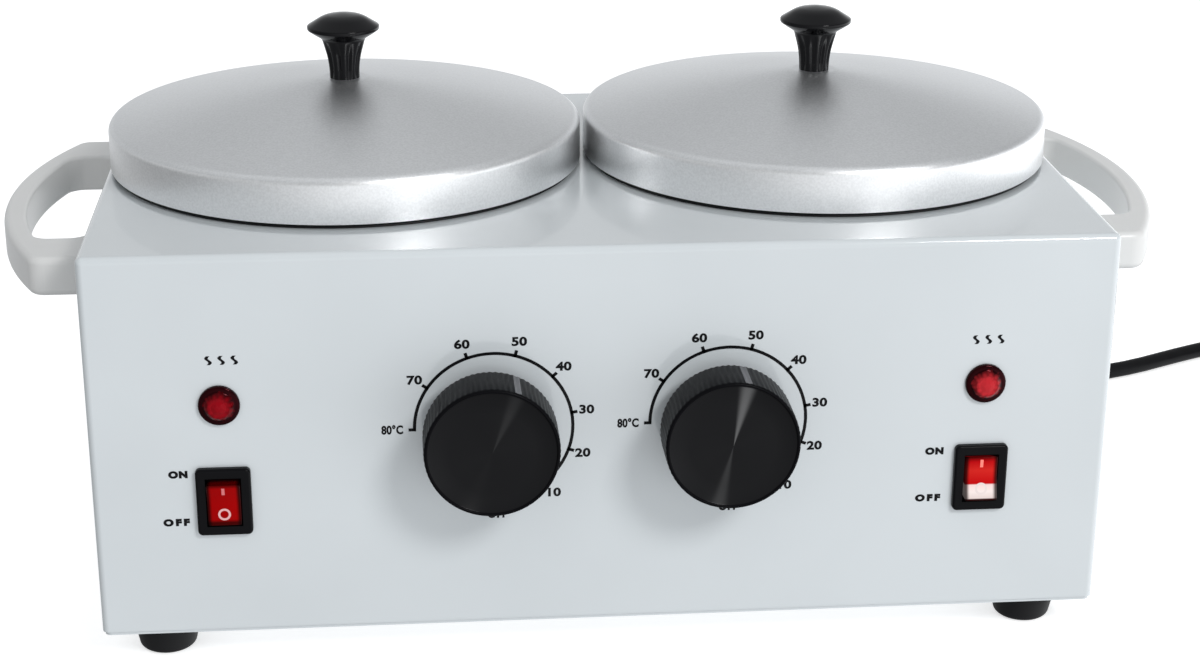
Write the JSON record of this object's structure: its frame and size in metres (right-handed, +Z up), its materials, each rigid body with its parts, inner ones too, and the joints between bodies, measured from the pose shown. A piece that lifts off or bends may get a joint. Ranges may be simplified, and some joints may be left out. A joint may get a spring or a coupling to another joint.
{
  "type": "double wax warmer",
  "caption": "Countertop warmer with lidded pots side by side in a sheet steel case, with rotary thermostats, rocker switches, pilot lamps, side handles and a coiled mains cord.",
  "frame": {"origin": "on the surface the feet stand on, under the middle of the warmer without its cord", "axes": "+X along the front towards the side where the cord lies, -Y out of the front panel, +Z up"},
  "size_m": [0.5848, 0.3045, 0.1765],
  "materials": {
    "case_paint": "gloss",
    "white_plastic": "semi-gloss",
    "spun_aluminium": "fine spun brush",
    "drawn_aluminium": "satin",
    "gloss_black": "gloss",
    "dial_black": "satin",
    "red_key": "translucent gloss",
    "red_lens": "translucent gloss",
    "black_rubber": "matt",
    "cord_jacket": "satin",
    "plug_brass": "satin",
    "zinc_steel": "zinc plated",
    "heater_steel": "satin",
    "fibre": "matt",
    "copper": "satin",
    "tinned_brass": "satin",
    "phenolic": "matt",
    "white_nylon": "matt"
  },
  "bodies": {
    "housing": {"base_plate": "case_paint", "base_screws": "zinc_steel", "bulb_straps": "zinc_steel", "clamp_bolts": "zinc_steel", "clamp_nuts": "zinc_steel", "cord_coil": "cord_jacket", "foot_nuts": "zinc_steel", "foot_screws": "zinc_steel", "handle_screws": "zinc_steel", "handle_washers": "zinc_steel", "lamp_rings": "zinc_steel", "left_band_heater": "heater_steel", "left_handle": "white_plastic", "left_heating_well": "drawn_aluminium", "left_insulation": "fibre", "left_lamp_body": "white_nylon", "left_lamp_lens": "red_lens", "left_switch_body": "gloss_black", "left_thermal_cutout": "phenolic", "left_thermostat": "phenolic", "left_thermostat_bulb": "copper", "outer_case": "case_paint", "plug_body": "cord_jacket", "plug_pins": "plug_brass", "power_cord": "cord_jacket", "right_band_heater": "heater_steel", "right_handle": "white_plastic", "right_heating_well": "drawn_aluminium", "right_insulation": "fibre", "right_lamp_body": "white_nylon", "right_lamp_lens": "red_lens", "right_switch_body": "gloss_black", "right_thermal_cutout": "phenolic", "right_thermostat": "phenolic", "right_thermostat_bulb": "copper", "rubber_feet": "black_rubber", "strain_relief": "black_rubber", "switch_terminals": "tinned_brass", "terminal_block": "white_nylon", "thermostat_screws": "zinc_steel", "well_brackets": "zinc_steel"},
    "left_dial": {"left_dial_knob": "dial_black", "left_thermostat_shaft": "zinc_steel"},
    "right_dial": {"right_dial_knob": "dial_black", "right_thermostat_shaft": "zinc_steel"},
    "left_key": {"left_rocker": "red_key"},
    "right_key": {"right_rocker": "red_key"},
    "left_pot": {"left_wax_pot": "drawn_aluminium"},
    "right_pot": {"right_wax_pot": "drawn_aluminium"},
    "left_cover": {"left_lid": "spun_aluminium", "left_lid_knob": "gloss_black", "left_lid_screw": "zinc_steel", "left_lid_washer": "zinc_steel"},
    "right_cover": {"right_lid": "spun_aluminium", "right_lid_knob": "gloss_black", "right_lid_screw": "zinc_steel", "right_lid_washer": "zinc_steel"}
  },
  "joints": [
    {"name": "left_dial_turn", "type": "hinge", "parent": "housing", "child": "left_dial", "pos_m": [-0.0345, -0.0775, 0.0745], "axis": [0, -1, 0], "range_deg": [-157, 113]},
    {"name": "right_dial_turn", "type": "hinge", "parent": "housing", "child": "right_dial", "pos_m": [0.0345, -0.0775, 0.0745], "axis": [0, -1, 0], "range_deg": [-168, 102]},
    {"name": "left_key_tip", "type": "hinge", "parent": "housing", "child": "left_key", "pos_m": [-0.112, -0.078, 0.054], "axis": [1, 0, 0], "range_deg": [-16, 0]},
    {"name": "right_key_tip", "type": "hinge", "parent": "housing", "child": "right_key", "pos_m": [0.112, -0.078, 0.054], "axis": [1, 0, 0], "range_deg": [0, 16]},
    {"name": "left_pot_lift", "type": "slide", "parent": "housing", "child": "left_pot", "axis": [0, 0, 1], "range_m": [0, 0.12]},
    {"name": "right_pot_lift", "type": "slide", "parent": "housing", "child": "right_pot", "axis": [0, 0, 1], "range_m": [0, 0.12]},
    {"name": "left_lid_lift", "type": "slide", "parent": "left_pot", "child": "left_cover", "axis": [0, 0, 1], "range_m": [0, 0.15]},
    {"name": "right_lid_lift", "type": "slide", "parent": "right_pot", "child": "right_cover", "axis": [0, 0, 1], "range_m": [0, 0.15]}
  ]
}
